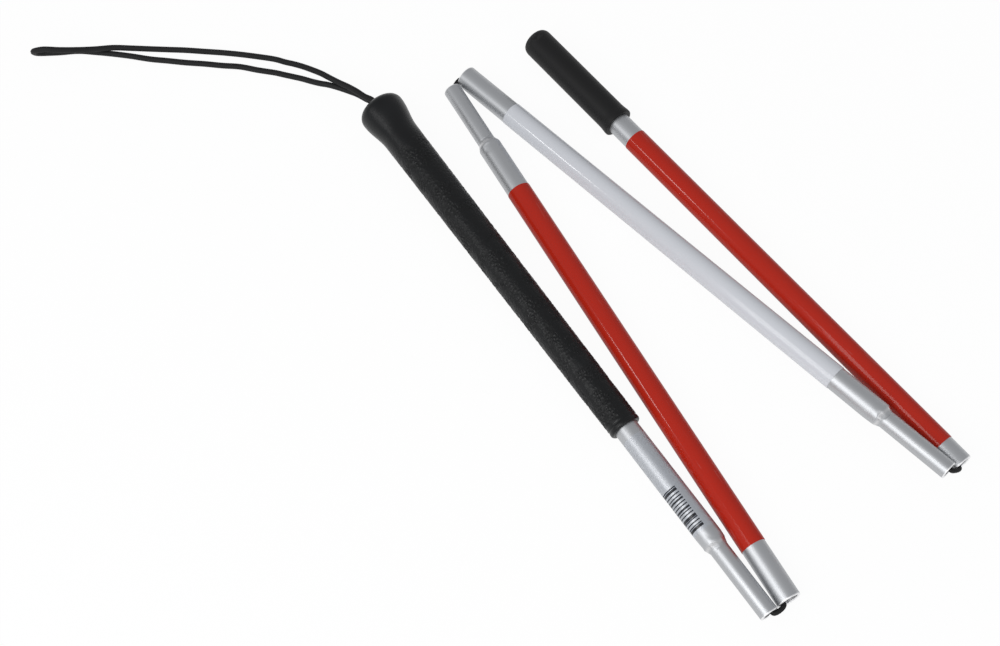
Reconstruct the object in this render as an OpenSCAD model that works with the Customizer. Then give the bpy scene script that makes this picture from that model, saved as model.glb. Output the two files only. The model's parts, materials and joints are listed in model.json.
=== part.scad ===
// Folding mobility cane: four tube sections on one elastic cord, folded in a zig-zag and lying on a table.
// Millimetres, Z up. The upper section lies along Y with its mouth towards -Y. The handle folds to its left,
// the middle and lower sections fold to its right. The origin is on the table, under the middle of the folded cane.

/* [Tube] */
// Outside diameter of every tube section
tube_d = 12.7; // [11:0.1:19]
// Wall of every tube section
wall = 1.4; // [1:0.1:1.8]
// Thickness of the reflective tape
tape_t = 0.25; // [0.1:0.05:0.5]

/* [Plug joint] */
// Length of the swaged plug that slides into the next section
plug_l = 38.5; // [25:0.5:50]
// Length of the cone between a tube and its plug
shoulder_l = 5; // [3:0.5:10]
// Play all round a plug in the next section's mouth
plug_play = 0.05; // [0.02:0.01:0.1]
// Chamfer on the rim of a plug
plug_chamfer = 0.5; // [0.2:0.1:0.9]

/* [Handle section] */
// Length of the rubber grip, from the butt to its lower lip
grip_l = 228.5; // [150:0.5:300]
// Diameter of the grip at the flare of its butt
flare_d = 25.4; // [22:0.1:32]
// Diameter of the grip just below the flare
grip_top_d = 20.5; // [19:0.1:21.5]
// Diameter of the grip at its lower lip
grip_low_d = 17; // [16:0.1:18.8]
// Length over which the butt flares out
flare_l = 19; // [10:1:30]
// Rounding of the butt
butt_round = 5; // [2:0.5:6]
// Rounding of the grip's lower lip
lip_round = 1.2; // [0.5:0.1:1.4]
// Thickness of the butt's cap
cap_t = 5; // [4:0.5:8]
// Thickness of the tape under the grip
grip_tape_t = 0.15; // [0.1:0.05:0.3]
// Bare tube between the grip and the shoulder
handle_bare_l = 71; // [50:1:120]
// Length of the film label on the bare handle tube
label_l = 58; // [30:1:60]
// Angle that the film label covers round the tube
label_wrap = 250; // [120:10:340]
// Thickness of the film label
label_t = 0.1; // [0.05:0.05:0.2]

/* [Upper section] */
// Bare tube between the mouth and the tape
upper_mouth_l = 31; // [20:1:60]
// Length of the red tape
upper_tape_l = 228.5; // [120:0.5:320]
// Bare tube between the tape and the shoulder
upper_top_l = 31; // [15:1:60]

/* [Middle section] */
// Bare tube between the mouth and the tape
middle_mouth_l = 35.5; // [20:0.5:60]
// Length of the white tape
middle_tape_l = 228.5; // [120:0.5:320]
// Bare tube between the tape and the shoulder
middle_end_l = 28; // [15:1:60]

/* [Lower section] */
// Bare tube between the mouth and the tape
lower_mouth_l = 13.5; // [8:0.5:40]
// Length of the red tape
lower_tape_l = 230; // [120:1:320]
// Bare tube between the tape and the tip
lower_neck_l = 13.5; // [4:0.5:40]
// Length of the slip-on tip
tip_l = 72; // [50:1:100]
// Diameter of the tip's barrel
tip_d = 16.8; // [15.5:0.1:24]
// Diameter of the bead round the tip's upper edge
tip_bead_d = 17.6; // [17:0.1:26]
// Length of the bead round the tip's upper edge
tip_bead_l = 4; // [2:0.5:8]
// Rounding of the tip's end
tip_round = 5; // [2:0.5:6]
// Solid end of the tip below the tube
tip_floor_t = 14; // [8:1:20]

/* [Elastic cord] */
// Diameter of the elastic cord, also of the wrist loop
cord_d = 3.2; // [2.5:0.1:3.6]
// Length of each knot in the cord
knot_l = 8; // [6:0.5:12]
// Length of the plastic plugs that anchor the cord
anchor_l = 12; // [8:1:20]
// Gap between the loop's knot and the cord's knot
knot_gap = 0.5; // [0.2:0.1:0.9]
// Depth in each tube at which the cord has come back to the middle
cord_settle_l = 20; // [15:1:20]
// How far the cord's bend is drawn out past the rims
cord_bow = 3.4; // [3:0.1:6]

/* [Folded layout] */
// Angle between the handle and the upper section
handle_splay = 5.1; // [4:0.05:12]
// Angle between the upper and middle sections
middle_splay = 15.85; // [12:0.05:25]
// Angle between the middle and lower sections
lower_splay = 5.85; // [5:0.05:12]
// Gap between the tubes at each fold
fold_gap = 0.6; // [0.5:0.1:2]
// How far the handle's plug stands past the upper section's mouth
handle_reach = 1; // [0:0.5:6]
// How far the middle section's mouth stands past the upper section's plug
middle_reach = 4; // [0:0.5:6]
// How far the lower section's mouth stands past the middle section's plug
lower_reach = 2; // [0:0.5:6]
// Sideways distance of the lower section's mouth from the plug that rides up on it
ride_side = 9.8; // [7:0.1:10]
// Gap between plug and mouth when a fold is open and not yet pushed home
fold_slack = 1; // [0.5:0.1:3]

/* [Hidden] */
$fn = 64;

// Clearance between pieces that are fixed to each other
seat_gap = 0.02;
// Clearance round the cord where it passes a rim or a hole
cord_clear = 0.1;
// Clearance between the cord's lengths on two sections
cord_joint_gap = 0.3;
// Overrun of every cut past the face that it goes through
overrun = 1;

tube_r = tube_d / 2;
bore_r = tube_r - wall;
plug_r = bore_r - plug_play;
plug_bore_r = plug_r - wall;
tape_r = tube_r + tape_t;
cord_r = cord_d / 2;
flare_r = flare_d / 2;
grip_top_r = grip_top_d / 2;
grip_low_r = grip_low_d / 2;
tip_r = tip_d / 2;
tip_bead_r = tip_bead_d / 2;

// Body of each section is its tube without shoulder and plug
handle_body_l = grip_l + handle_bare_l;
upper_body_l = upper_mouth_l + upper_tape_l + upper_top_l;
middle_body_l = middle_mouth_l + middle_tape_l + middle_end_l;
handle_l = handle_body_l + shoulder_l + plug_l;
upper_l = upper_body_l + shoulder_l + plug_l;
middle_l = middle_body_l + shoulder_l + plug_l;
lower_l = lower_mouth_l + lower_tape_l + lower_neck_l + tip_l;
lower_tube_l = lower_l - tip_floor_t - seat_gap;

// Unit vectors
function unit(v) = v / norm(v);
// Direction at a heading clockwise from -Y, seen from above, that climbs by a slope angle
function away(heading, slope) = [sin(heading) * cos(slope), -cos(heading) * cos(slope), sin(slope)];

// Folded layout before it is centred: each section has an end point and a direction along its axis
fold_span = plug_r + tube_r + fold_gap;
upper_dir = [0, 1, 0];
upper_mouth_0 = [0, 0, tape_r];
upper_end_0 = upper_mouth_0 + upper_l * upper_dir;

// The handle rests on its flare, and its plug end stands beside the upper section's mouth
handle_slope = asin((flare_r - tape_r) / (handle_l - butt_round));
handle_dir = away(handle_splay, -handle_slope);
handle_end_0 = upper_mouth_0 - [fold_span - handle_reach * tan(handle_splay), handle_reach, 0];
handle_butt_0 = handle_end_0 - handle_l * handle_dir;

// The middle section's plug end rides up on the lower section's mouth
ride_h = sqrt(fold_span * fold_span - ride_side * ride_side);
middle_slope = asin(ride_h / middle_l);
middle_dir = away(middle_splay, middle_slope);
middle_mouth_0 = upper_end_0 + [fold_span - middle_reach * tan(middle_splay), middle_reach, 0];
middle_end_0 = middle_mouth_0 + middle_l * middle_dir;

// The lower section rests on its tape and on its tip
lower_heading = middle_splay - lower_splay;
lower_slope = asin((tip_bead_r - tape_r) / (lower_l - tip_l));
lower_dir = -away(lower_heading, -lower_slope);
lower_mouth_0 = middle_end_0 + lower_reach * away(middle_splay, 0)
    + ride_side * [cos(middle_splay), sin(middle_splay), 0] - [0, 0, ride_h];
lower_end_0 = lower_mouth_0 + lower_l * lower_dir;

// Corners of the folded cane, from the discs that end its sections, and the shift that centres it
function disc_reach(dir, r) = [for (k = dir) r * sqrt(1 - k * k)];
cord_reach_share = 0.75;
cord_reach = cord_bow * cord_reach_share + cord_r;
discs = [
    [handle_butt_0 + butt_round * handle_dir, handle_dir, flare_r],
    [handle_butt_0, handle_dir, flare_r - butt_round],
    [handle_end_0 + cord_reach * handle_dir, handle_dir, plug_r],
    [upper_mouth_0 - cord_reach * upper_dir, upper_dir, bore_r],
    [middle_mouth_0, middle_dir, tube_r],
    [lower_mouth_0, lower_dir, tube_r],
    [lower_end_0, lower_dir, tip_r - tip_round]
];
low_corner = [for (k = [0:1]) min([for (d = discs) d[0][k] - disc_reach(d[1], d[2])[k]])];
high_corner = [for (k = [0:1]) max([for (d = discs) d[0][k] + disc_reach(d[1], d[2])[k]])];
centring = -[low_corner[0] + high_corner[0], low_corner[1] + high_corner[1], 0] / 2;

handle_butt = handle_butt_0 + centring;
handle_end = handle_end_0 + centring;
upper_mouth = upper_mouth_0 + centring;
upper_end = upper_end_0 + centring;
middle_mouth = middle_mouth_0 + centring;
middle_end = middle_end_0 + centring;
lower_mouth = lower_mouth_0 + centring;

// A fold turns the section with the mouth, at m along v, until it is in line with the plug, at p along u,
// with the slack between them. Gives the fold's centre, its axis and its angle.
function fold(p, u, m, v) =
    let (
        lined = p + fold_slack * u,
        w = lined - m,
        n = unit(cross(u - v, w)),
        flat_u = u - (u * n) * n,
        flat_v = v - (v * n) * n,
        turn = atan2(n * cross(flat_v, flat_u), flat_v * flat_u)
    )
    [(m + lined) / 2 + cross(n, w) / (2 * tan(turn / 2)), n, turn];

folds = [
    fold(handle_end, handle_dir, upper_mouth, upper_dir),
    fold(upper_end, upper_dir, middle_mouth, middle_dir),
    fold(middle_end, middle_dir, lower_mouth, lower_dir)
];
for (k = [0:len(folds) - 1]) echo(fold = k + 1, centre = folds[k][0], axis = folds[k][1], angle = folds[k][2]);
echo(plug_axes = [handle_dir, -middle_dir, -lower_dir], plug_travel = plug_l + fold_slack);
echo(butt = handle_butt, lower_end = lower_mouth + lower_l * lower_dir, lower_dir = lower_dir);
echo(unfolded = handle_l + upper_l + middle_l + lower_l - 3 * plug_l);

// Route of the wrist loop: sideways and along the handle from the hole in the butt, and the height over the table
loop_points = [
    [-0.5, -4.8, 14.5], [-0.5, 0, 14.5], [-1, 4, 14.5], [-3, 8.5, 14], [-4.5, 14.5, 13], [-6.5, 20.5, 12],
    [-8.5, 25.5, 11], [-10.5, 31, 10], [-13, 38.5, 8.5], [-15.5, 44.5, 7], [-18, 50, 5.5], [-21, 55, 4.5],
    [-24, 60, 3], [-27, 64.5, 2.5], [-34.5, 72.5, 2], [-42, 79.5, 2], [-49.5, 86, 2], [-57.5, 92.5, 2],
    [-65.5, 99, 2], [-73.5, 105, 2], [-81.5, 111, 2], [-90, 117, 2.5], [-98.5, 121.5, 4.5],
    [-107.5, 124.5, 6.8], [-116.5, 127.5, 9.7], [-125.5, 131, 12.7], [-132.9, 135.3, 14.1],
    [-135.6, 137.2, 13.3], [-137.3, 139.4, 11.1], [-137.3, 141.2, 8.1], [-135.8, 142.1, 5.1],
    [-133.1, 142, 2.9], [-129.9, 140.7, 2.1], [-124.5, 137.5, 2], [-115.5, 132.5, 2], [-107.5, 126, 2],
    [-100, 119.5, 2], [-92.5, 112.5, 2], [-85, 105, 2], [-77.5, 98.5, 2], [-69.5, 91.5, 2], [-61.5, 85, 2],
    [-54, 78.5, 2], [-46, 72, 2], [-39, 64.5, 2], [-31.5, 57, 2], [-28.5, 53, 2.5], [-25, 48.5, 3],
    [-22, 44, 4], [-19, 39, 5], [-16, 34, 6.5], [-13.5, 31, 7], [-10, 25.5, 8], [-7, 20.5, 8.5],
    [-4, 14.5, 9.5], [-2, 8.5, 10.5], [0, 4, 11], [0.5, 0, 11], [0.5, -4.8, 11]
];

// Points of a cubic curve that leaves a along da and reaches b along db
function curve(a, da, b, db, steps) = [
    for (k = [0:steps])
        let (t = k / steps, s = 1 - t)
        s * s * s * a + 3 * s * s * t * (a + da) + 3 * s * t * t * (b - db) + t * t * t * b
];
// Direction of a path at each of its points
function headings(path) = [
    for (k = [0:len(path) - 1]) unit(path[min(k + 1, len(path) - 1)] - path[max(k - 1, 0)])
];
// Cross direction at each point, carried along the path without twist
function square_to(n, dir) = unit(n - (n * dir) * dir);
function carried(dirs, k, n) =
    k == len(dirs) ? [] : let (m = square_to(n, dirs[k])) concat([m], carried(dirs, k + 1, m));

// Tube of radius r along a path, with a first cross direction
module sweep(path, r, sides, first) {
    dirs = headings(path);
    crosses = carried(dirs, 0, first);
    rings = len(path);
    points = [
        for (k = [0:rings - 1], j = [0:sides - 1])
            let (a = 360 * j / sides)
            path[k] + r * (cos(a) * crosses[k] + sin(a) * cross(dirs[k], crosses[k]))
    ];
    skin = [
        for (k = [0:rings - 2], j = [0:sides - 1])
            let (a = k * sides + j, b = k * sides + (j + 1) % sides)
            each [[a, a + sides, b], [b, a + sides, b + sides]]
    ];
    near_end = [[for (j = [0:sides - 1]) j]];
    far_end = [[for (j = [sides - 1:-1:0]) (rings - 1) * sides + j]];
    polyhedron(points, concat(skin, near_end, far_end), convexity = 10);
}

// Stands a shape that is drawn along Z on a point, with its Z along a direction
module along(from, dir) {
    translate(from)
        rotate([0, acos(dir[2]), atan2(dir[1], dir[0])])
            children();
}
module on_handle() { along(handle_butt, handle_dir) children(); }
module on_upper() { along(upper_mouth, upper_dir) children(); }
module on_middle() { along(middle_mouth, middle_dir) children(); }
module on_lower() { along(lower_mouth, lower_dir) children(); }

// Ring between two radii
module sleeve(inner_r, outer_r, from, length) {
    translate([0, 0, from])
        difference() {
            cylinder(r = outer_r, h = length);
            translate([0, 0, -overrun])
                cylinder(r = inner_r, h = length + 2 * overrun);
        }
}
// Tube from a start to the end of its body, then the shoulder and the swaged plug
module plug_tube(from, body_l) {
    plug_from = body_l + shoulder_l;
    end = plug_from + plug_l;
    rotate_extrude()
        polygon([
            [bore_r, from], [tube_r, from], [tube_r, body_l], [plug_r, plug_from],
            [plug_r, end - plug_chamfer], [plug_r - plug_chamfer, end], [plug_bore_r, end],
            [plug_bore_r, plug_from], [bore_r, body_l]
        ]);
}
// Tape or cord pieces that repeat on the sections
module tape_band(from, length) { sleeve(tube_r + seat_gap, tape_r, from, length); }
module straight_cord(from, to) { translate([0, 0, from]) cylinder(r = cord_r, h = to - from); }
// Barrel knot: turns of cord side by side round a flat-ended core
module barrel_knot(from) {
    turns = floor(knot_l / cord_d);
    core_r = 2 * cord_r;
    translate([0, 0, from])
        rotate_extrude()
            union() {
                square([core_r, knot_l]);
                for (k = [0:turns - 1])
                    translate([core_r, (k + 1 / 2) * knot_l / turns])
                        circle(r = cord_r, $fn = 24);
            }
}
// Plastic plug with a hole for the cord
module cord_anchor(from) { sleeve(cord_r + cord_clear, bore_r - seat_gap, from, anchor_l); }

// Elastic cord at a fold: out of a plug at p along u, over the two rims and into a mouth at m along v
fold_cord_sides = 12;
settle_steps = 6;
bend_steps = 16;
module fold_cord(p, u, m, v) {
    span = m - p;
    plug_side = unit(span - (span * u) * u);
    mouth_side = unit((span * v) * v - span);
    out = p + (plug_bore_r - cord_r - cord_clear) * plug_side;
    in = m + (bore_r - cord_r - cord_clear) * mouth_side;
    start = p - cord_settle_l * u;
    finish = m + cord_settle_l * v;
    pull = cord_settle_l / 3;
    from_plug = curve(start, pull * u, out, pull * u, settle_steps);
    bend = curve(out, cord_bow * u, in, cord_bow * v, bend_steps);
    to_mouth = curve(in, pull * v, finish, pull * v, settle_steps);
    path = concat(
        from_plug,
        [for (k = [1:bend_steps - 1]) bend[k]],
        to_mouth
    );
    sweep(path, cord_r, fold_cord_sides, cross(u, plug_side));
}

// Handle section, drawn from the butt to the plug
loop_hole_r = cord_d + cord_clear + cord_r / 2;
grip_bore_r = tube_r + grip_tape_t + 2 * seat_gap;
flare_steps = 8;
round_steps = 8;
handle_tube_from = cap_t + seat_gap;
loop_knot_from = handle_tube_from;
cord_knot_from = loop_knot_from + knot_l + knot_gap;
handle_plug_from = cord_knot_from + knot_l + seat_gap;
cord_hidden_l = cord_settle_l + cord_joint_gap;

module grip() {
    waist_z = butt_round + flare_l;
    butt = [
        for (k = [0:round_steps])
            let (a = 90 * k / round_steps)
            [flare_r - butt_round + butt_round * sin(a), butt_round - butt_round * cos(a)]
    ];
    flare = [
        for (k = [1:flare_steps])
            let (t = k / flare_steps)
            [grip_top_r + (flare_r - grip_top_r) * (1 + cos(180 * t)) / 2, butt_round + flare_l * t]
    ];
    lip = [
        for (k = [0:round_steps])
            let (a = 90 * k / round_steps)
            [grip_low_r - lip_round + lip_round * cos(a), grip_l - lip_round + lip_round * sin(a)]
    ];
    inside = [[grip_bore_r, grip_l], [grip_bore_r, cap_t], [loop_hole_r, cap_t], [loop_hole_r, 0]];
    color([0.12, 0.12, 0.13])
        on_handle()
            rotate_extrude()
                polygon(concat(butt, flare, lip, inside));
}
module grip_tape() {
    color([0.85, 0.82, 0.7])
        on_handle()
            sleeve(tube_r + seat_gap, tube_r + seat_gap + grip_tape_t, handle_tube_from, grip_l - cap_t - lip_round);
}
module handle_tube() {
    color([0.75, 0.76, 0.78])
        on_handle()
            plug_tube(handle_tube_from, handle_body_l);
}
module handle_label() {
    label_from = grip_l + (handle_bare_l - label_l) / 2;
    color([0.9, 0.92, 0.93, 0.5])
        on_handle()
            translate([0, 0, label_from])
                rotate([0, 0, 180 - label_wrap / 2])
                    rotate_extrude(angle = label_wrap)
                        translate([tube_r + seat_gap, 0])
                            square([label_t, label_l]);
}
module handle_plug() {
    color([0.9, 0.9, 0.88])
        on_handle()
            cord_anchor(handle_plug_from);
}
module handle_cord_knot() {
    color([0.1, 0.1, 0.1])
        on_handle()
            barrel_knot(cord_knot_from);
}
module loop_knot() {
    color([0.1, 0.1, 0.1])
        on_handle()
            barrel_knot(loop_knot_from);
}
module handle_cord() {
    color([0.1, 0.1, 0.1])
        on_handle()
            straight_cord(handle_plug_from, handle_l - cord_hidden_l);
}
loop_sides = 8;
module wrist_loop() {
    ahead = -unit([handle_dir[0], handle_dir[1], 0]);
    aside = cross(ahead, [0, 0, 1]);
    hole = [handle_butt[0], handle_butt[1], 0];
    route = [for (p = loop_points) hole + p[0] * aside + p[1] * ahead + [0, 0, p[2]]];
    color([0.1, 0.1, 0.1])
        sweep(route, cord_r, loop_sides, [0, 0, 1]);
}

// Upper section, drawn from the mouth to the plug
module upper_tube() {
    color([0.75, 0.76, 0.78])
        on_upper()
            plug_tube(0, upper_body_l);
}
module upper_tape() {
    color([0.7, 0.15, 0.1])
        on_upper()
            tape_band(upper_mouth_l, upper_tape_l);
}
module upper_cord() {
    color([0.1, 0.1, 0.1])
        on_upper()
            straight_cord(cord_hidden_l, upper_l - cord_hidden_l);
}

// Middle section, drawn from the mouth to the plug
module middle_tube() {
    color([0.75, 0.76, 0.78])
        on_middle()
            plug_tube(0, middle_body_l);
}
module middle_tape() {
    color([0.92, 0.93, 0.94])
        on_middle()
            tape_band(middle_mouth_l, middle_tape_l);
}
module middle_cord() {
    color([0.1, 0.1, 0.1])
        on_middle()
            straight_cord(cord_hidden_l, middle_l - cord_hidden_l);
}

// Lower section, drawn from the mouth to the tip
tip_from = lower_l - tip_l;
tip_bore_r = tube_r + seat_gap;
lower_knot_from = lower_tube_l - knot_l - seat_gap;
lower_plug_from = lower_knot_from - anchor_l - seat_gap;

module lower_tube() {
    color([0.75, 0.76, 0.78])
        on_lower()
            sleeve(bore_r, tube_r, 0, lower_tube_l);
}
module lower_tape() {
    color([0.7, 0.15, 0.1])
        on_lower()
            tape_band(lower_mouth_l, lower_tape_l);
}
module lower_cord() {
    color([0.1, 0.1, 0.1])
        on_lower()
            straight_cord(cord_hidden_l, lower_plug_from + anchor_l);
}
module lower_plug() {
    color([0.9, 0.9, 0.88])
        on_lower()
            cord_anchor(lower_plug_from);
}
module lower_cord_knot() {
    color([0.1, 0.1, 0.1])
        on_lower()
            barrel_knot(lower_knot_from);
}
module tip() {
    bead_to = tip_from + tip_bead_l;
    nose = [
        for (k = [0:round_steps])
            let (a = 90 * k / round_steps)
            [tip_r - tip_round + tip_round * cos(a), lower_l - tip_round + tip_round * sin(a)]
    ];
    barrel = [
        [tip_bore_r, tip_from], [tip_bead_r, tip_from], [tip_bead_r, bead_to],
        [tip_r, bead_to + tip_bead_r - tip_r]
    ];
    inside = [[0, lower_l], [0, lower_l - tip_floor_t], [tip_bore_r, lower_l - tip_floor_t]];
    color([0.1, 0.1, 0.11])
        on_lower()
            rotate_extrude()
                polygon(concat(barrel, nose, inside));
}

module fold_cord_1() { color([0.1, 0.1, 0.1]) fold_cord(handle_end, handle_dir, upper_mouth, upper_dir); }
module fold_cord_2() { color([0.1, 0.1, 0.1]) fold_cord(upper_end, upper_dir, middle_mouth, middle_dir); }
module fold_cord_3() { color([0.1, 0.1, 0.1]) fold_cord(middle_end, middle_dir, lower_mouth, lower_dir); }

grip();
grip_tape();
handle_tube();
handle_label();
handle_plug();
handle_cord_knot();
loop_knot();
wrist_loop();
handle_cord();
fold_cord_1();
upper_tube();
upper_tape();
upper_cord();
fold_cord_2();
middle_tube();
middle_tape();
middle_cord();
fold_cord_3();
lower_tube();
lower_tape();
lower_cord();
lower_plug();
lower_cord_knot();
tip();
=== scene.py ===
import json
from math import cos, pi, radians, sin
import bpy
from mathutils import Matrix, Vector, noise


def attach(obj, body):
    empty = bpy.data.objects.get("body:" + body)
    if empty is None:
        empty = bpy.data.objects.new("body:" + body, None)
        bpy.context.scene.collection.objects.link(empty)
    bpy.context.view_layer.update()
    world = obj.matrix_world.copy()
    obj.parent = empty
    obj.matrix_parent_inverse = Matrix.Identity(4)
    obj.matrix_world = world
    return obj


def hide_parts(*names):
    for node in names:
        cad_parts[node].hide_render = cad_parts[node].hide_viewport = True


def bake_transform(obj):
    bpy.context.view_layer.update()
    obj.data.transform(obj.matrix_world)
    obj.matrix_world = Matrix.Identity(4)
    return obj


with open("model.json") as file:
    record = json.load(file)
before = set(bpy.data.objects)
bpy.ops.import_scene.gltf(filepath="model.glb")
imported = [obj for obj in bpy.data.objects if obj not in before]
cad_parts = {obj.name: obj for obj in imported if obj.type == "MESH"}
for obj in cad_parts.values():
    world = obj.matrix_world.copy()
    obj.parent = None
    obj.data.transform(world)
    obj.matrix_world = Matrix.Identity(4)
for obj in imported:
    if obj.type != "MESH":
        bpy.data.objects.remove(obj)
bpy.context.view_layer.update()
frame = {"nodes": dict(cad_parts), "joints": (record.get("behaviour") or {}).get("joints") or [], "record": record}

# The photograph's view. The camera stands in front of the folded cane, to its left and well above it.
# Its place and lens were fitted to the tube ends, the tape edges and the tip that the photograph shows.
view_azimuth = radians(-29.306)
view_elevation = radians(63.36)
view_distance = 0.87102
view_centre = Vector((-0.079486, 0.027824, 0.0066))
lens_mm = 61.13

towards_camera = Vector((sin(view_azimuth) * cos(view_elevation), -cos(view_azimuth) * cos(view_elevation),
                         sin(view_elevation)))
camera = bpy.data.objects.new("camera", bpy.data.cameras.new("camera"))
camera.data.lens = lens_mm
camera.location = view_centre + view_distance * towards_camera
camera.rotation_euler = towards_camera.to_track_quat("Z", "Y").to_euler()
bpy.context.scene.collection.objects.link(camera)
bpy.context.scene.camera = camera
bpy.context.scene.view_settings.view_transform = "Standard"

# Wrist loop. A thin elastic cord: rubber strands in a braided black sleeve, doubled into a loop.
# Both ends go through the hole in the grip's butt and are tied in one knot behind the butt's cap.
cord_d = 0.0032
cord_r = cord_d / 2
braid_plaits = 4
braid_pitch = 0.0013
braid_rise = 0.00007
braid_sides = 24
braid_step = 0.0004
stretch_power = 12
fluff_height = 0.00003
loop_steps = 12
cord_black = (0.0055, 0.0055, 0.0058, 1)
cord_pale = (0.015, 0.015, 0.016, 1)
loop_mount = next(m for m in frame["record"]["mounts"] if m["name"] == "wrist_loop")
butt = Vector(loop_mount["pos_m"])
handle_way = -Vector(loop_mount["axis"])
upwards = Vector((0, 0, 1))

# The route, in metres: aside and ahead of the hole in the butt, and the height over the table
loop_points = [
    (-0.0005, -0.0048, 0.0145), (-0.0005, 0, 0.0145), (-0.001, 0.004, 0.0145), (-0.003, 0.0085, 0.014),
    (-0.0045, 0.0145, 0.013), (-0.0065, 0.0205, 0.012), (-0.0085, 0.0255, 0.011), (-0.0105, 0.031, 0.01),
    (-0.013, 0.0385, 0.0085), (-0.0155, 0.0445, 0.007), (-0.018, 0.05, 0.0055), (-0.021, 0.055, 0.0045),
    (-0.024, 0.06, 0.003), (-0.027, 0.0645, 0.0025), (-0.0345, 0.0725, 0.002), (-0.042, 0.0795, 0.002),
    (-0.0495, 0.086, 0.002), (-0.0575, 0.0925, 0.002), (-0.0655, 0.099, 0.002), (-0.0735, 0.105, 0.002),
    (-0.0815, 0.111, 0.002), (-0.09, 0.117, 0.0025), (-0.0985, 0.1215, 0.0045), (-0.1075, 0.1245, 0.0068),
    (-0.1165, 0.1275, 0.0097), (-0.1255, 0.131, 0.0127), (-0.1329, 0.1353, 0.0141),
    (-0.1356, 0.1372, 0.0133), (-0.1373, 0.1394, 0.0111), (-0.1373, 0.1412, 0.0081),
    (-0.1358, 0.1421, 0.0051), (-0.1331, 0.142, 0.0029), (-0.1299, 0.1407, 0.0021),
    (-0.1245, 0.1375, 0.002), (-0.1155, 0.1325, 0.002), (-0.1075, 0.126, 0.002), (-0.1, 0.1195, 0.002),
    (-0.0925, 0.1125, 0.002), (-0.085, 0.105, 0.002), (-0.0775, 0.0985, 0.002), (-0.0695, 0.0915, 0.002),
    (-0.0615, 0.085, 0.002), (-0.054, 0.0785, 0.002), (-0.046, 0.072, 0.002), (-0.039, 0.0645, 0.002),
    (-0.0315, 0.057, 0.002), (-0.0285, 0.053, 0.0025), (-0.025, 0.0485, 0.003), (-0.022, 0.044, 0.004),
    (-0.019, 0.039, 0.005), (-0.016, 0.034, 0.0065), (-0.0135, 0.031, 0.007), (-0.01, 0.0255, 0.008),
    (-0.007, 0.0205, 0.0085), (-0.004, 0.0145, 0.0095), (-0.002, 0.0085, 0.0105), (0, 0.004, 0.011),
    (0.0005, 0, 0.011), (0.0005, -0.0048, 0.011),
]


def cubic(start, leaving, end, arriving, steps):
    """Points of a curve that leaves start along one pull and reaches end along another, without its end."""
    points = []
    for k in range(steps):
        t = k / steps
        s = 1 - t
        points.append(s ** 3 * start + 3 * s * s * t * (start + leaving)
                      + 3 * s * t * t * (end - arriving) + t ** 3 * end)
    return points


def smooth_route(points, steps):
    """One smooth curve through a cord's points."""
    runs = [b - a for a, b in zip(points, points[1:])]
    ways = [runs[0].normalized()]
    ways += [(a.normalized() + b.normalized()).normalized() for a, b in zip(runs, runs[1:])]
    ways.append(runs[-1].normalized())
    route = []
    for k, run in enumerate(runs):
        pull = run.length / 3
        route += cubic(points[k], pull * ways[k], points[k + 1], pull * ways[k + 1], steps)
    return route + [points[-1]]


def made(name, vertices, faces, place=Matrix.Identity(4), crease=radians(35)):
    """A new piece from its vertices and faces, smooth but for edges sharper than crease."""
    mesh = bpy.data.meshes.new(name)
    mesh.from_pydata(vertices, [], faces)
    mesh.shade_smooth()
    mesh.set_sharp_from_angle(angle=crease)
    piece = bpy.data.objects.new(name, mesh)
    piece.matrix_world = place
    bpy.context.scene.collection.objects.link(piece)
    return piece


def carry(piece, name, values):
    """Keeps one number for each vertex of a piece, for its finish to read."""
    piece.data.attributes.new(name, "FLOAT", "POINT").data.foreach_set("value", values)


def evenly(route, step):
    """The same route with its points a set step apart."""
    lengths = [0.0]
    for a, b in zip(route, route[1:]):
        lengths.append(lengths[-1] + (b - a).length)
    count = round(lengths[-1] / step)
    spaced = []
    k = 0
    for n in range(count + 1):
        at = lengths[-1] * n / count
        while k < len(route) - 2 and lengths[k + 1] < at:
            k += 1
        share = (at - lengths[k]) / (lengths[k + 1] - lengths[k])
        spaced.append(route[k].lerp(route[k + 1], share))
    return spaced


def braided_cord(name, route, drawn=0):
    """A braided cord along a route: plaits wound both ways stand up where they cross over. A stretched cord
    is drawn thinner by a share of its girth in the middle of the route."""
    route = evenly(route, braid_step)
    vertices = []
    plaits = []
    across = upwards
    for k, point in enumerate(route):
        way = (route[min(k + 1, len(route) - 1)] - route[max(k - 1, 0)]).normalized()
        across = (across - across.dot(way) * way).normalized()
        beside = way.cross(across)
        wind = pi * k * braid_step / braid_pitch
        girth = 1 - drawn * sin(pi * k / (len(route) - 1)) ** stretch_power
        for j in range(braid_sides):
            angle = 2 * pi * j / braid_sides
            plait = sin(braid_plaits * angle + wind) * sin(braid_plaits * angle - wind)
            out = girth * (cord_r + braid_rise * plait)
            vertices.append(point + out * (cos(angle) * across + sin(angle) * beside))
            plaits.append((plait + 1) / 2)
    last = (len(route) - 1) * braid_sides
    faces = [list(range(braid_sides))[::-1], list(range(last, last + braid_sides))]
    for start in range(0, last, braid_sides):
        for j in range(braid_sides):
            a = start + j
            b = start + (j + 1) % braid_sides
            faces.append((a, b, b + braid_sides, a + braid_sides))
    cord = made(name, vertices, faces)
    carry(cord, "plait", plaits)
    return cord, route


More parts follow.
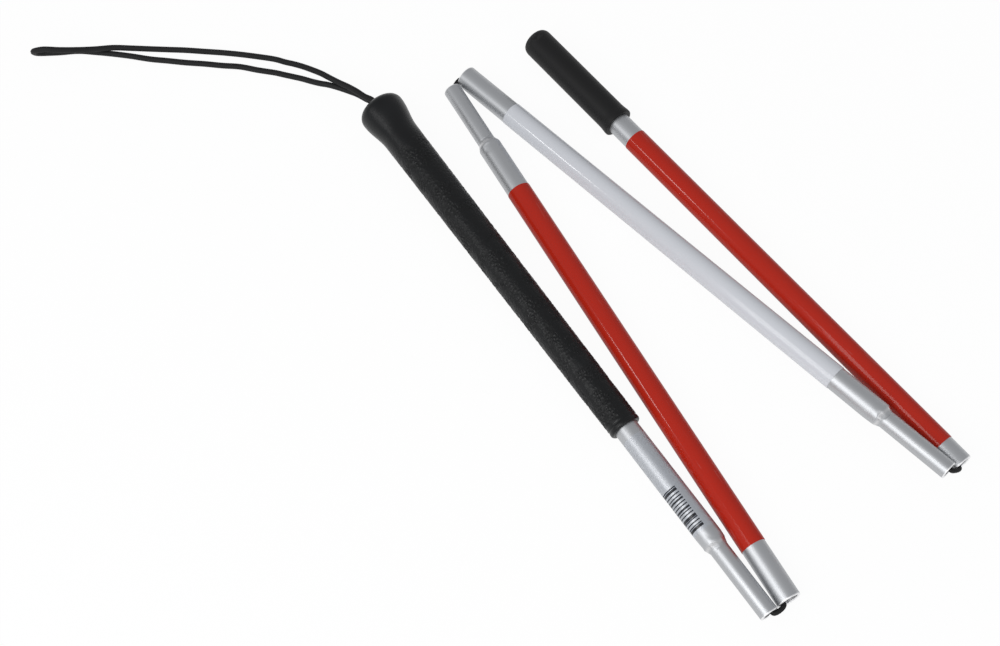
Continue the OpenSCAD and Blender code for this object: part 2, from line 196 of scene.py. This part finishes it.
class Shade:
    """A number, colour or vector that a finish's nodes work out. Sums on numbers add Math nodes."""

    def __init__(self, tree, socket=None):
        self.tree = tree
        self.socket = socket

    def feed(self, node, sockets):
        """Sets a node's sockets to values, or links them to what other nodes work out."""
        for name, value in sockets.items():
            if isinstance(value, Shade):
                self.tree.links.new(value.socket, node.inputs[name])
            else:
                node.inputs[name].default_value = value

    def node(self, kind, settings, sockets, output=0):
        """Any node: its type, its settings, which are set first, and its sockets' values or links."""
        node = self.tree.nodes.new(kind)
        for name, value in settings.items():
            setattr(node, name, value)
        self.feed(node, sockets)
        return Shade(self.tree, node.outputs[output])

    def sums(self, operation, first, second):
        return self.node("ShaderNodeMath", {"operation": operation}, {0: first, 1: second})

    def __add__(self, other):
        return self.sums("ADD", self, other)

    def __radd__(self, other):
        return self.sums("ADD", other, self)

    def __sub__(self, other):
        return self.sums("SUBTRACT", self, other)

    def __rsub__(self, other):
        return self.sums("SUBTRACT", other, self)

    def __mul__(self, other):
        return self.sums("MULTIPLY", self, other)

    def __rmul__(self, other):
        return self.sums("MULTIPLY", other, self)

    def carried(self, name):
        """A number that the piece carries for each vertex."""
        return self.node("ShaderNodeAttribute", {"attribute_name": name}, {}, output=2)

    def place(self, stretch=(1, 1, 1)):
        """The place on the piece, in metres, times a stretch along its own axes."""
        own = self.node("ShaderNodeTexCoord", {}, {}, output=3)
        return self.node("ShaderNodeVectorMath", {"operation": "MULTIPLY"}, {0: own, 1: stretch})

    def part(self, axis):
        """One of a vector's three numbers."""
        return self.node("ShaderNodeSeparateXYZ", {}, {0: self}, output=axis)

    def speckle(self, stretch, detail=2.0):
        """Noise with so many grains a metre along each of the piece's axes."""
        return self.node("ShaderNodeTexNoise", {},
                         {"Vector": self.place(stretch), "Scale": 1.0, "Detail": detail})

    def rise(self, low, high):
        """Rises smoothly from 0 to 1 between two values."""
        return self.node("ShaderNodeMapRange", {"interpolation_type": "SMOOTHSTEP"},
                         {"Value": self, "From Min": low, "From Max": high})

    def between(self, one, other):
        """A colour from one at 0 to other at 1."""
        return self.node("ShaderNodeMix", {"data_type": "RGBA"}, {0: self, 6: one, 7: other}, output=2)

    def bump(self, height):
        """The surface's normal, with this number standing up by a height in metres."""
        return self.node("ShaderNodeBump", {}, {"Height": self, "Distance": height, "Strength": 1.0})


def finish(name):
    """A new material: its start for sums, and its shader."""
    material = bpy.data.materials.new(name)
    material.use_nodes = True
    return material, Shade(material.node_tree), material.node_tree.nodes["Principled BSDF"]


def cord_sleeve():
    """Black braid with a fine fluff, paler on the raised crossings of its plaits and in rubbed patches."""
    material, start, shader = finish("cord_sleeve")
    plait = start.carried("plait")
    fluff = start.speckle((2600, 2600, 2600))
    rubbed = start.speckle((70, 70, 70)).rise(0.45, 0.75)
    start.feed(shader, {
        "Base Color": (plait * 0.6 + fluff * 0.25 + rubbed * 0.25 - 0.2).between(cord_black, cord_pale),
        "Roughness": 0.62 + fluff * 0.2 - plait * 0.12,
        "Normal": fluff.bump(fluff_height),
        "Specular IOR Level": 0.25,
    })
    return material


sleeve = cord_sleeve()
ahead = -Vector((handle_way.x, handle_way.y, 0)).normalized()
aside = ahead.cross(upwards)
under_butt = Vector((butt.x, butt.y, 0))
loop_way = [under_butt + x * aside + y * ahead + z * upwards for x, y, z in loop_points]
wrist_loop, loop_route = braided_cord("wrist_loop_braid", smooth_route(loop_way, loop_steps))
wrist_loop.data.materials.append(sleeve)
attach(wrist_loop, "handle")
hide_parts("wrist_loop")

# Elastic cord at the three folds. The same braided cord runs through all four tubes under tension.
# At a fold it comes out of a plug, doubles back over the two rims and goes into the next tube's mouth.
wall = 0.0014
plug_play = 0.00005
cord_clear = 0.0001
cord_settle = 0.020
cord_bow = 0.0017
cord_drawn = 0.22
settle_steps = 24
bow_steps = 48
place_digits = 6
end_depth = 0.00001
joint_axes = {j["name"]: Vector(j["axis"]) for j in frame["joints"]}


def end_of(node, way):
    """The middle of the round end at which a CAD node starts, going along a way."""
    points = {v.co.to_tuple(place_digits) for v in frame["nodes"][node].data.vertices}
    back = min(Vector(p).dot(way) for p in points)
    ring = [Vector(p) for p in points if Vector(p).dot(way) < back + end_depth]
    return sum(ring, Vector()) / len(ring)


def lying(start, way):
    """A section's place: its Z runs along the section and its Y looks up."""
    way = way.normalized()
    up = (upwards - way.z * way).normalized()
    return Matrix.Translation(start) @ Matrix((up.cross(way), up, way)).transposed().to_4x4()


def reach(node, place):
    """Where a CAD node starts and ends along its section, and its largest radius."""
    points = [place.inverted() @ v.co for v in frame["nodes"][node].data.vertices]
    along = [p.z for p in points]
    return min(along), max(along), max(p.xy.length for p in points)


ways = {
    "handle": handle_way.normalized(),
    "upper": joint_axes["plug_1"].normalized(),
    "middle": -joint_axes["plug_2"].normalized(),
    "lower": -joint_axes["plug_3"].normalized(),
}
places = {}
for section, way in ways.items():
    first_node = "grip" if section == "handle" else section + "_tube"
    places[section] = lying(end_of(first_node, way), way)
tube_r = reach("upper_tube", places["upper"])[2]
bore_r = tube_r - wall
plug_r = bore_r - plug_play
plug_bore_r = plug_r - wall


def fold_route(plug, u, mouth, v):
    """Out of a plug along u, over both rims and into a mouth along v."""
    span = mouth - plug
    plug_side = (span - span.dot(u) * u).normalized()
    mouth_side = (span.dot(v) * v - span).normalized()
    out = plug + (plug_bore_r - cord_r - cord_clear) * plug_side
    into = mouth + (bore_r - cord_r - cord_clear) * mouth_side
    deep = mouth + cord_settle * v
    pull = cord_settle / 3
    route = cubic(plug - cord_settle * u, pull * u, out, pull * u, settle_steps)
    route += cubic(out, cord_bow * u, into, cord_bow * v, bow_steps)
    route += cubic(into, pull * v, deep, pull * v, settle_steps)
    return route + [deep], out, into


folds = [("handle", "upper"), ("upper", "middle"), ("middle", "lower")]
for number, (plug_body, mouth_body) in enumerate(folds, 1):
    plug_end = end_of(plug_body + "_tube", -ways[plug_body])
    mouth = end_of(mouth_body + "_tube", ways[mouth_body])
    route, out, into = fold_route(plug_end, ways[plug_body], mouth, ways[mouth_body])
    fold_cord, _ = braided_cord(f"fold_cord_{number}_braid", route, cord_drawn)
    fold_cord.data.materials.append(sleeve)
    # The ends of a line across the bend, square to both tubes, are worked out here but not used
    along = (ways[mouth_body] - ways[plug_body]).normalized()
    across = mouth - plug_end
    across = (across - across.dot(along) * along).normalized()
    middle = (out + into) / 2
    half = ((into - out).dot(across) / 2 - cord_r) * across
    middle - half
    middle + half
    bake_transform(fold_cord)
    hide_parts(f"fold_cord_{number}")

# Four tubes of drawn aluminium, half an inch across, with a satin finish. All but the lower one are
# swaged down at one end over a short shoulder, into a plug that slips into the next tube's mouth.
shoulder_l = 0.005
plug_l = 0.0385
shoulder_run = 0.0034
cut_l = 0.0005
bore_cut_l = 0.0008
mouth_ease = 0.0007
bore_ease = 0.0006
shoulder_ease = 0.0006
plug_ease = 0.0007
dent_l = 0.008
dent_step = 0.0005
dent_size = 0.0042
dent_depth = 0.00036
dent_first = 2
dent_low = -0.1
dent_high = 0.5
plug_skin = 0.0002
body_skin = 0.0001
on_axis_r = 1e-7
satin_grey = (0.44, 0.45, 0.465, 1)
satin_bright = (0.52, 0.53, 0.545, 1)
rubbed_bright = (0.62, 0.62, 0.63, 1)
cut_bright = (0.86, 0.86, 0.87, 1)


def eased(corners, steps=6):
    """A closed outline of (radius, along) points, from corners and the length that each is eased over."""
    outline = []
    for before, corner, after in zip(corners[-1:] + corners[:-1], corners, corners[1:] + corners[:1]):
        radius, along, ease = corner
        at = Vector((radius, along))
        if ease == 0:
            outline.append(at)
            continue
        came = at + ease * (Vector(before[:2]) - at).normalized()
        goes = at + ease * (Vector(after[:2]) - at).normalized()
        for k in range(steps + 1):
            t = k / steps
            outline.append((1 - t) ** 2 * came + 2 * t * (1 - t) * at + t * t * goes)
    return outline


def on_skin(radius, along, angle):
    """A point of a turned piece, in its section's own axes."""
    return Vector((radius * cos(angle), radius * sin(angle), along))


def turned(name, outline, place, around=96, arc=None, relief=None):
    """A piece turned about its section's axis from a closed outline, all round or over an arc."""
    first, last = arc or (0, 2 * pi)
    columns = around if arc is None else around + 1
    vertices = []
    rings = []
    for radius, along in outline:
        count = 1 if radius < on_axis_r else columns
        rings.append(range(len(vertices), len(vertices) + count))
        for j in range(count):
            angle = first + (last - first) * j / around
            out = radius + (relief(radius, along, angle) if relief else 0)
            vertices.append(on_skin(out, along, angle))
    faces = []
    for ring, after in zip(rings, rings[1:] + rings[:1]):
        if len(ring) == len(after) == 1:
            continue
        for j in range(around):
            beside = (j + 1) % columns
            corners = (ring[j % len(ring)], ring[beside % len(ring)],
                       after[beside % len(after)], after[j % len(after)])
            faces.append(tuple(dict.fromkeys(corners)))
    if arc:
        faces.append([ring[0] for ring in rings][::-1])
        faces.append([ring[-1] for ring in rings])
    return made(name, vertices, faces, place)


def smooth_step(low, high, value):
    """Rises smoothly from 0 to 1 between two values."""
    t = min(max((value - low) / (high - low), 0), 1)
    return t * t * (3 - 2 * t)


def dented(shoulder):
    """The swaging jaws leave shallow dents on both sides of a shoulder."""
    def relief(radius, along, angle):
        away = abs(along - shoulder)
        if radius < plug_r or away > dent_l:
            return 0
        pressed = smooth_step(dent_low, dent_high, noise.noise(on_skin(radius, along, angle) / dent_size))
        return -dent_depth * pressed * (1 - away / dent_l)
    return relief


def satin_aluminium():
    """Drawn satin metal, scratched on the plugs and bright where it was swaged or cut."""
    material, start, shader = finish("satin_aluminium")
    drawn = start.speckle((2400, 2400, 14), 3.0)
    handled = start.speckle((60, 60, 45), 3.0)
    off_axis = start.place((1, 1, 0))
    radius = start.node("ShaderNodeVectorMath", {"operation": "LENGTH"}, {0: off_axis}, output=1)
    on_plug = 1 - radius.rise(plug_r + plug_skin, tube_r - body_skin)
    swaged = on_plug * (1 - on_plug) * 4
    scratched = start.speckle((3600, 3600, 40), 2.0).rise(0.56, 0.64) * on_plug
    grey = (drawn * 0.7 + handled * 0.3).between(satin_grey, satin_bright)
    worked = (scratched * 0.25 + swaged).between(grey, rubbed_bright)
    start.feed(shader, {
        "Base Color": start.carried("cut").between(worked, cut_bright),
        "Metallic": 1.0,
        "Roughness": 0.42 + drawn * 0.04 + handled * 0.08 - scratched * 0.03 - swaged * 0.18,
    })
    return material


aluminium = satin_aluminium()
for section in ways:
    starts, ends, _ = reach(section + "_tube", places[section])
    corners = [(bore_r, starts, bore_ease), (tube_r, starts, mouth_ease)]
    dents = None
    if section == "lower":
        corners += [(tube_r, ends, mouth_ease), (bore_r, ends, bore_ease)]
    else:
        plug_from = ends - plug_l - (shoulder_l - shoulder_run) / 2
        body_end = plug_from - shoulder_run
        rings = [dent_step * k for k in range(dent_first, round(dent_l / dent_step))]
        corners += [(tube_r, body_end - step, 0) for step in rings[::-1]]
        corners += [(tube_r, body_end, shoulder_ease), (plug_r, plug_from, shoulder_ease)]
        corners += [(plug_r, plug_from + step, 0) for step in rings]
        corners += [(plug_r, ends, plug_ease), (plug_bore_r, ends, bore_ease),
                    (plug_bore_r, plug_from, shoulder_ease), (bore_r, body_end, shoulder_ease)]
        dents = dented((body_end + plug_from) / 2)
    tube = turned(section + "_tube_satin", eased(corners), places[section], relief=dents)
    cut_face = []
    for v in tube.data.vertices:
        mouth_cut_l = cut_l if v.co.xy.length > bore_r else bore_cut_l
        cut_face.append(ends - v.co.z < cut_l or v.co.z - starts < mouth_cut_l)
    carry(tube, "cut", cut_face)
    tube.data.materials.append(aluminium)
    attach(tube, section)
    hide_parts(section + "_tube")

# Reflective tape. A sheet of glass-bead tape is rolled once round each of three tubes, red on the upper and
# lower sections and white on the middle one, under a clear glossy face, with its seam along the underside.
seam_angle = 1.5 * pi
seam_depth = 0.00013
tape_edge = 0.00010
tape_seat = 0.00002
same_angle = 1e-6
roll_height = 0.0000005
red_deep = (0.37, 0.016, 0.007, 1)
red_bright = (0.43, 0.020, 0.009, 1)
white_deep = (0.52, 0.535, 0.57, 1)
white_bright = (0.61, 0.625, 0.66, 1)
tape_dust = (0.50, 0.47, 0.45, 1)
red_gloss = 0.46
white_gloss = 0.80


def seam(radius, along, angle):
    """The tape's two edges meet in a fine groove."""
    outside = radius > tube_r + 2 * tape_seat
    return -seam_depth if outside and abs(angle - seam_angle) < same_angle else 0


def reflective_tape(name, deep, bright, gloss):
    """Beads under a clear glossy face, with a few scuffs."""
    material, start, shader = finish(name)
    beads = start.speckle((5200, 5200, 5200), 1.0)
    rolled = start.speckle((130, 130, 18), 2.0)
    scuffed = start.speckle((900, 900, 60), 3.0).rise(0.66, 0.78)
    start.feed(shader, {
        "Base Color": (scuffed * 0.12).between((beads * 0.6 + rolled * 0.4).between(deep, bright), tape_dust),
        "Roughness": 0.34 + beads * 0.10 + scuffed * 0.12,
        "Normal": rolled.bump(roll_height),
        "Specular IOR Level": 0.0,
        "Coat Weight": gloss - scuffed * 0.16,
        "Coat Roughness": 0.12,
        "Coat IOR": 1.45,
    })
    return material


tapes = {"red_tape": reflective_tape("red_reflective", red_deep, red_bright, red_gloss),
         "white_tape": reflective_tape("white_reflective", white_deep, white_bright, white_gloss)}
for section, colour in (("upper", "red_tape"), ("middle", "white_tape"), ("lower", "red_tape")):
    starts, ends, tape_r = reach(section + "_tape", places[section])
    corners = [(tube_r + tape_seat, starts, 0), (tape_r, starts, tape_edge),
               (tape_r, ends, tape_edge), (tube_r + tape_seat, ends, 0)]
    tape = turned(section + "_tape_roll", eased(corners), places[section], relief=seam)
    tape.data.materials.append(tapes[colour])
    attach(tape, section)
    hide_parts(section + "_tape")

# Grip. A golf-type grip moulded in black rubber: a flared butt with a rounded cap, then a long taper with
# a pebbled face and a smooth lip. It is slid over tape on the handle tube and sticks there.
butt_round = 0.005
flare_l = 0.019
waist_r = 0.01025
low_r = 0.0085
lip_round = 0.0012
cap_t = 0.005
loop_hole_r = 0.0041
hole_ease = 0.0006
hole_round = 0.3
round_steps = 12
grip_around = 140
pebble_size = 0.0016
pebble_seed = 5
pebble_rise = 0.00036
pebble_from = 0.026
pebble_fade = 0.012
pebble_stop = 0.003
smooth_from = 0.001
pebble_warp = 0.55
warp_scale = 0.8
patch_scale = 0.2
patch_low = -0.25
patch_high = 0.30
crease_least = 0.45
crease_more = 0.55
crease_floor = 0.02
crease_w = 0.42
lip_l = 0.0030
lip_groove = 0.00035
lip_groove_half = 0.0008
grip_step = 0.00045
# The darkest rubber colour below is painted shade for the creases between the pebbles.
rubber_crease_shade = (0.0010, 0.0011, 0.0014, 1)
rubber_face = (0.0036, 0.0041, 0.0048, 1)
rubber_dust = (0.012, 0.013, 0.0145, 1)
rubber_grain = 0.00006

_, grip_l, butt_r = reach("grip", places["handle"])
_, _, tape_under_r = reach("grip_tape", places["handle"])
grip_bore_r = tape_under_r + tape_seat
flare_end = butt_round + flare_l
grooved_at = grip_l - lip_l


def pebbled(along):
    """How much of the pebbled face there is at a place along the grip."""
    return (smooth_step(pebble_from, pebble_from + pebble_fade, along)
            * (1 - smooth_step(grooved_at - pebble_stop, grooved_at - smooth_from, along)))


def pebble(radius, along, angle):
    """Height of the pebbles, from 0 in the creases between them to 1."""
    spot = on_skin(radius, along, angle) / pebble_size
    patch = smooth_step(patch_low, patch_high, noise.noise(spot * patch_scale))
    spot += pebble_warp * noise.noise_vector(spot * warp_scale)
    near, next_near = noise.voronoi(spot)[0][:2]
    crease = 1 - smooth_step(crease_floor, crease_w, next_near - near)
    return 1 - (crease_least + crease_more * patch) * crease


def grip_radius(along):
    """The grip's outer radius: a rounded butt, a flare, a taper and a rounded lip."""
    if along < butt_round:
        return butt_r - butt_round + (butt_round ** 2 - (butt_round - along) ** 2) ** 0.5
    if along < flare_end:
        return waist_r + (butt_r - waist_r) * (1 + cos(pi * (along - butt_round) / flare_l)) / 2
    taper = waist_r + (low_r - waist_r) * (along - flare_end) / (grip_l - flare_end)
    groove = lip_groove * (1 - smooth_step(0, lip_groove_half, abs(along - grooved_at)))
    past = min(max(along - (grip_l - lip_round), 0), lip_round)
    return taper - groove - lip_round + (lip_round ** 2 - past ** 2) ** 0.5


def grip_mesh():
    """The grip: its skin from the butt to the lip, then its bore and the loop's hole."""
    stations = [butt_round * (1 - cos(pi / 2 * k / round_steps)) for k in range(round_steps)]
    body_l = grip_l - lip_round - butt_round
    count = round(body_l / grip_step)
    stations += [butt_round + body_l * k / count for k in range(count)]
    stations += [grip_l - lip_round + lip_round * sin(pi / 2 * k / round_steps)
                 for k in range(round_steps + 1)]
    skin = [(grip_radius(z), z) for z in stations]
    inside = [(grip_bore_r, grip_l), (grip_bore_r, cap_t), (loop_hole_r, cap_t), (loop_hole_r, hole_ease),
              (loop_hole_r + hole_ease * hole_round, hole_ease * hole_round), (loop_hole_r + hole_ease, 0)]
    heights = []

    def relief(radius, along, angle):
        share = pebbled(along) if radius > low_r - lip_round else 0
        height = pebble(radius, along, angle) if share > 0 else 1
        heights.append(1 - share * (1 - height))
        return -pebble_rise * share * (1 - height)

    grip = turned("grip_rubber_body", skin + inside, places["handle"], around=grip_around, relief=relief)
    carry(grip, "pebble", heights)
    return grip


def grip_rubber():
    """Black rubber with a fine grain and painted shade in the creases between its pebbles, smoother and dustier on
    their tops.
    """
    material, start, shader = finish("grip_rubber")
    height = start.carried("pebble")
    grain = start.speckle((3400, 3400, 3400), 2.0)
    dust = start.speckle((55, 55, 30), 4.0).rise(0.48, 0.78)
    # Painted shade: the rubber is darker in the creases between the pebbles and lighter on their tops.
    crease_shaded_face = (height * 0.8 + grain * 0.2).between(rubber_crease_shade, rubber_face)
    start.feed(shader, {
        "Base Color": (dust * height * 0.35).between(crease_shaded_face, rubber_dust),
        "Roughness": 0.50 - height * 0.22 + grain * 0.10 + dust * 0.06,
        "Normal": grain.bump(rubber_grain),
        "Specular IOR Level": 0.27,
    })
    return material


noise.seed_set(pebble_seed)
grip = grip_mesh()
grip.data.materials.append(grip_rubber())
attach(grip, "handle")
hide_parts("grip")

# Label. A clear film is rolled round the bare stretch of the handle tube, open underneath, and sticks to it.
# A block of plain black bars is printed on the film's back.
film_wrap = radians(250)
film_seat = 0.00002
film_edge = 0.00004
block_from = 0.2668
block_to = 0.2922
block_low = radians(92)
block_high = radians(186)
bar_pitch = 0.00165
bar_pitch_wide = 0.00535
fine_bar = (0.15, 0.55)
wide_bar = (0.70, 0.90)
bar_edge = 0.00012
bar_end = 0.02
turn_start = 0.01
film_around = 72
film_haze = (0.76, 0.84, 1.0, 1)
print_black = (0.014, 0.015, 0.020, 1)


def label_film():
    """Clear film with faint smudges, and a block of bars."""
    material, start, shader = finish("label_film")
    x, y, z = (start.place().part(axis) for axis in range(3))
    angle = start.sums("ARCTAN2", y, x)
    turn = angle + (1 - angle.rise(-turn_start, turn_start)) * 2 * pi
    in_block = (z.rise(block_from, block_from + bar_edge) * (1 - z.rise(block_to - bar_edge, block_to))
                * turn.rise(block_low, block_low + bar_end)
                * (1 - turn.rise(block_high - bar_end, block_high)))
    fine = start.sums("SINE", z * (2 * pi / bar_pitch), 0.0).rise(*fine_bar)
    wide = start.sums("SINE", z * (2 * pi / bar_pitch_wide), 0.0).rise(*wide_bar)
    bars = in_block * start.sums("MAXIMUM", fine, wide)
    smudge = start.speckle((220, 220, 90), 3.0)
    start.feed(shader, {
        "Base Color": bars.between(film_haze, print_black),
        "Alpha": 0.035 + smudge * 0.015 + bars * 0.64,
        "Roughness": 0.16 + smudge * 0.14,
        "Specular IOR Level": 0.5,
    })
    return material


starts, ends, film_r = reach("handle_label", places["handle"])
corners = [(tube_r + film_seat, starts, 0), (film_r, starts, film_edge),
           (film_r, ends, film_edge), (tube_r + film_seat, ends, 0)]
film = turned("label_film_wrap", eased(corners), places["handle"], around=film_around,
              arc=(pi / 2 - film_wrap / 2, pi / 2 + film_wrap / 2))
film.data.materials.append(label_film())
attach(film, "handle")
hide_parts("handle_label")

# Tip. A black pencil tip moulded in one piece, with a bead round its upper edge, a plain barrel and a
# rounded nose. It is pushed over the end of the lower tube and stays there by its grip on the tube.
bead_flat_l = 0.0018
bead_ease = 0.0007
bead_fade_l = 0.0035
tip_r = 0.0084
tip_bore_r = 0.00637
tip_bore_ease = 0.0003
tip_floor = 0.014
tip_steps = 12
nose_round = 0.005
nose_worn_from = 0.009
nose_worn_to = 0.001
parting_rise = 0.00005
plastic_grain = 0.00002
plastic_black = (0.0044, 0.0044, 0.0047, 1)
plastic_grey = (0.0078, 0.0078, 0.0082, 1)
plastic_worn = (0.040, 0.039, 0.038, 1)

starts, tip_ends, bead_r = reach("tip", places["lower"])


def parting(radius, along, angle):
    """The mould's two halves leave a faint line along both sides."""
    outside = radius > tip_r - nose_round and along > starts + bead_flat_l + bead_fade_l
    return parting_rise if outside and abs(sin(angle)) < same_angle else 0


def tip_plastic():
    """Black moulded plastic, worn grey on its nose."""
    material, start, shader = finish("tip_plastic")
    along = start.place().part(2)
    grain = start.speckle((2800, 2800, 2800), 2.0)
    marks = start.speckle((420, 420, 420), 4.0).rise(0.50, 0.62)
    on_nose = along.rise(tip_ends - nose_worn_from, tip_ends - nose_worn_to)
    handled = start.speckle((50, 50, 35), 3.0)
    crease_shaded_face = (grain * 0.4 + handled * 0.6).between(plastic_black, plastic_grey)
    start.feed(shader, {
        "Base Color": (marks * on_nose * 0.6).between(crease_shaded_face, plastic_worn),
        "Roughness": 0.44 + grain * 0.10 + handled * 0.10 + on_nose * marks * 0.2,
        "Normal": grain.bump(plastic_grain),
        "Specular IOR Level": 0.25,
    })
    return material


corners = [(0, tip_ends - tip_floor, 0), (tip_bore_r, tip_ends - tip_floor, 0),
           (tip_bore_r, starts, tip_bore_ease), (bead_r, starts, bead_ease),
           (bead_r, starts + bead_flat_l, bead_ease),
           (tip_r, starts + bead_flat_l + bead_fade_l, bead_fade_l / 2),
           (tip_r, tip_ends, nose_round), (0, tip_ends, 0)]
tip = turned("tip_moulding", eased(corners, steps=tip_steps), places["lower"], relief=parting)
tip.data.materials.append(tip_plastic())
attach(tip, "lower")
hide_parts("tip")

# Inside the tubes. The elastic cord, its knots and the wrist loop's knot are the same braided cord, two
# nylon plugs anchor it, and buff paper tape lies under the grip. Their solids stay, with their finishes.
nylon_pale = (0.62, 0.61, 0.57, 1)
nylon_cream = (0.72, 0.71, 0.67, 1)
buff_dark = (0.47, 0.40, 0.27, 1)
buff_pale = (0.60, 0.53, 0.38, 1)
nylon_flow = 0.00002
crepe_height = 0.00006


def nylon():
    """Pale nylon with faint flow marks."""
    material, start, shader = finish("nylon")
    flow = start.speckle((260, 260, 120), 3.0)
    start.feed(shader, {
        "Base Color": flow.between(nylon_pale, nylon_cream),
        "Roughness": 0.38 + flow * 0.14,
        "Normal": flow.bump(nylon_flow),
    })
    return material


def buff_tape():
    """Creped buff paper."""
    material, start, shader = finish("buff_tape")
    crepe = start.speckle((700, 700, 2600), 3.0)
    start.feed(shader, {
        "Base Color": crepe.between(buff_dark, buff_pale),
        "Roughness": 0.70 + crepe * 0.18,
        "Normal": crepe.bump(crepe_height),
    })
    return material


inside = [(nylon(), ["handle_plug", "lower_plug"]), (buff_tape(), ["grip_tape"]),
          (sleeve, ["handle_cord", "upper_cord", "middle_cord", "lower_cord",
                    "handle_cord_knot", "loop_knot", "lower_cord_knot"])]
for material, nodes in inside:
    for node in nodes:
        for slot in frame["nodes"][node].material_slots:
            slot.material = material

# Table and light. The cane lies on a plain white table in a pale room. A small lamp to its left draws the
# thin bright line along the tapes. A broad soft box gives the metal its soft one, and a third lamp lights
# the ends of the tubes from the front.
floor_half = 4.0
floor_white = (0.88, 0.88, 0.88, 1)
white_share = 0.95
room_grey = (0.55, 0.555, 0.565, 1)
lamps = {
    "small_lamp": {"at": (-1.20, 0.44, 0.84), "size": (0.20, 0.16), "watts": 1.7},
    "soft_box": {"at": (-0.92, -0.30, 0.86), "size": (0.62, 0.90), "watts": 7.2},
    "front_box": {"at": (-0.10, -1.10, 0.50), "size": (0.80, 0.50), "watts": 2.5},
}


def table_white():
    """White where it is seen or mirrored, and lit as a plain matt table for the rest."""
    material, start, shader = finish("table_white")
    start.feed(shader, {"Base Color": floor_white, "Roughness": 0.9, "Specular IOR Level": 0.0})
    looked, mirrored, through = (start.node("ShaderNodeLightPath", {}, {}, output=name) for name in
                                 ("Is Camera Ray", "Is Glossy Ray", "Is Transmission Ray"))
    seen = start.sums("MAXIMUM", start.sums("MAXIMUM", looked, mirrored), through)
    glow = start.node("ShaderNodeEmission", {}, {"Color": (1, 1, 1, 1), "Strength": 1.0})
    lit = Shade(start.tree, shader.outputs[0])
    mixed = start.node("ShaderNodeMixShader", {}, {0: seen * white_share, 1: lit, 2: glow})
    start.feed(start.tree.nodes["Material Output"], {"Surface": mixed})
    return material


corners = [(-floor_half, -floor_half, 0), (floor_half, -floor_half, 0),
           (floor_half, floor_half, 0), (-floor_half, floor_half, 0)]
floor = made("table", corners, [(0, 1, 2, 3)])
floor.data.materials.append(table_white())

room = bpy.data.worlds.new("room")
room.use_nodes = True
room.node_tree.nodes["Background"].inputs["Color"].default_value = room_grey
bpy.context.scene.world = room

for name, lamp in lamps.items():
    light = bpy.data.objects.new(name, bpy.data.lights.new(name, "AREA"))
    light.data.shape = "RECTANGLE"
    light.data.size, light.data.size_y = lamp["size"]
    light.data.energy = lamp["watts"]
    light.location = lamp["at"]
    light.rotation_euler = light.location.to_track_quat("Z", "Y").to_euler()
    bpy.context.scene.collection.objects.link(light)
